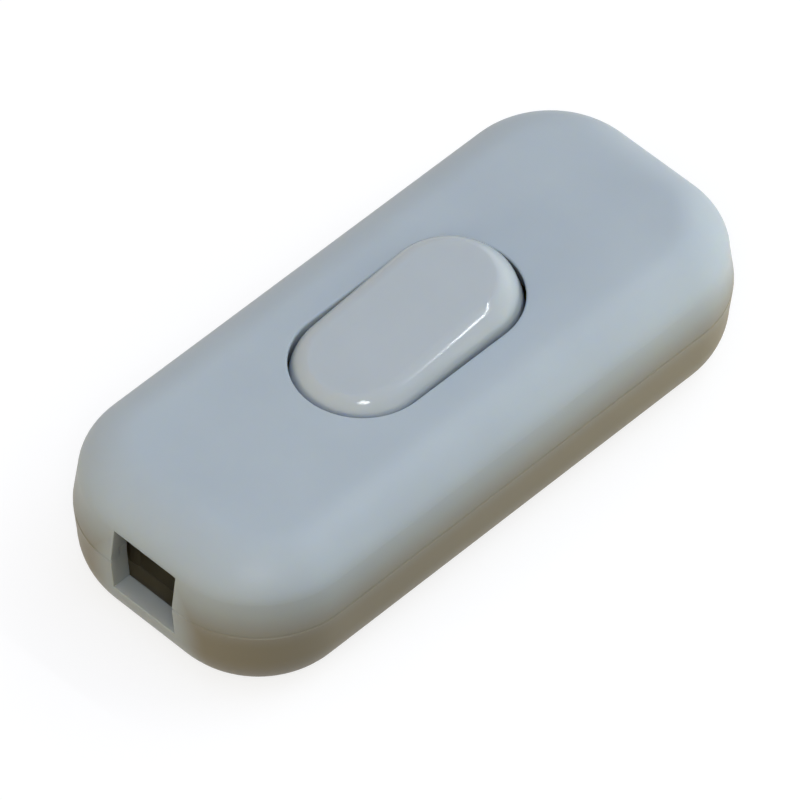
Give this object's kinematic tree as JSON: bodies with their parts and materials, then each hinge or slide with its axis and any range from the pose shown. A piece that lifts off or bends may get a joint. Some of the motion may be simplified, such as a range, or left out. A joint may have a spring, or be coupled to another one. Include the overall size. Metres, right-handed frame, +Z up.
{
  "type": "inline cord switch",
  "caption": "Inline cord switch: long rounded two-part housing with a tilting rocker in its top and a rectangular cord window at each end.",
  "frame": {"origin": "middle of the housing's flat underside", "axes": "+X along the switch, +Y across it, +Z up through the rocker; the rocker's pressed end is at -X"},
  "size_m": [0.08, 0.0352, 0.0233],
  "materials": {
    "upper_shell_plastic": "satin",
    "lower_shell_plastic": "satin",
    "rocker_plastic": "glossy",
    "carrier_plastic": "matte",
    "clamp_plastic": "matte",
    "plunger_plastic": "satin",
    "terminal_brass": "bright",
    "contact_silver": "bright",
    "spring_steel": "bright",
    "screw_steel": "zinc plated"
  },
  "bodies": {
    "housing": {"upper_shell": "upper_shell_plastic", "lower_shell": "lower_shell_plastic", "switch_carrier": "carrier_plastic", "fixed_contact_tip": "contact_silver", "common_terminal": "terminal_brass", "fixed_terminal": "terminal_brass", "neutral_block": "terminal_brass", "earth_block": "terminal_brass", "cord_clamp_left": "clamp_plastic", "cord_clamp_right": "clamp_plastic", "common_terminal_screw": "screw_steel", "fixed_terminal_screw": "screw_steel", "neutral_screw_left": "screw_steel", "neutral_screw_right": "screw_steel", "earth_screw_left": "screw_steel", "earth_screw_right": "screw_steel", "clamp_screw_left_front": "screw_steel", "clamp_screw_left_back": "screw_steel", "clamp_screw_right_front": "screw_steel", "clamp_screw_right_back": "screw_steel", "cover_screw_left": "screw_steel", "cover_screw_right": "screw_steel"},
    "rocker": {"rocker_button": "rocker_plastic", "plunger_spring": "spring_steel"},
    "plunger": {"contact_plunger": "plunger_plastic"},
    "lever": {"contact_lever": "terminal_brass", "moving_contact_tip": "contact_silver"}
  },
  "joints": [
    {"name": "rocker_tilt", "type": "hinge", "parent": "housing", "child": "rocker", "pos_m": [0, 0, 0.0146], "axis": [0, 1, 0], "range_deg": [0, 11.5]},
    {"name": "plunger_slide", "type": "slide", "parent": "rocker", "child": "plunger", "axis": [-0.1002, 0, 0.995], "range_m": [0, 0.0005], "stiffness_N_per_m": 300, "springref_m": -0.003, "deforming": ["plunger_spring"]},
    {"name": "contact_tilt", "type": "hinge", "parent": "housing", "child": "lever", "pos_m": [0, 0, 0.007], "axis": [0, 1, 0], "range_deg": [-11.5, 0]}
  ],
  "couplings": [
    {"joint": "contact_tilt", "follows": "rocker_tilt", "ratio": -1}
  ]
}
